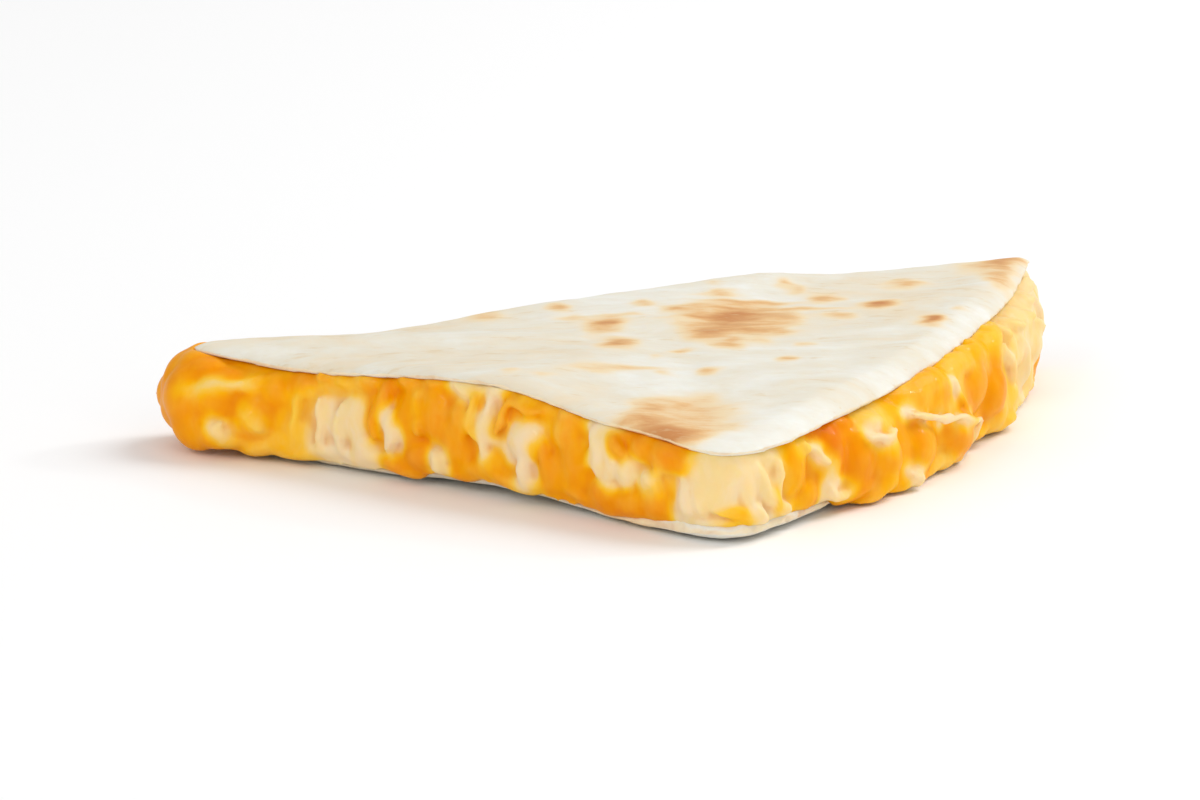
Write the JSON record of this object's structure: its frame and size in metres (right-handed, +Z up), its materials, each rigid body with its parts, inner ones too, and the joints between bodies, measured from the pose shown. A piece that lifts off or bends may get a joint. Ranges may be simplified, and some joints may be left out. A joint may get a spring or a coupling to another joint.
{
  "type": "quesadilla wedge",
  "caption": "Cut wedge of a cheese quesadilla: melted orange and ivory cheese between two toasted flour tortillas, lying flat.",
  "frame": {"origin": "middle of the wedge's box in plan, on the plane that the lower tortilla lies on", "axes": "+Z up through the layers; +X from the left corner towards the right one; +Y from the front corner towards the back"},
  "size_m": [0.1218, 0.111, 0.017],
  "materials": {
    "tortilla": "toasted flour tortilla, matte, cream with brown spots",
    "cheese": "melted cheese, soft gloss, orange marbled with ivory",
    "tortilla_lower": "toasted flour tortilla, matte, pale tan"
  },
  "bodies": {
    "root": {"tortilla_top": "tortilla", "cheese_filling": "cheese", "tortilla_bottom": "tortilla_lower"}
  },
  "joints": []
}
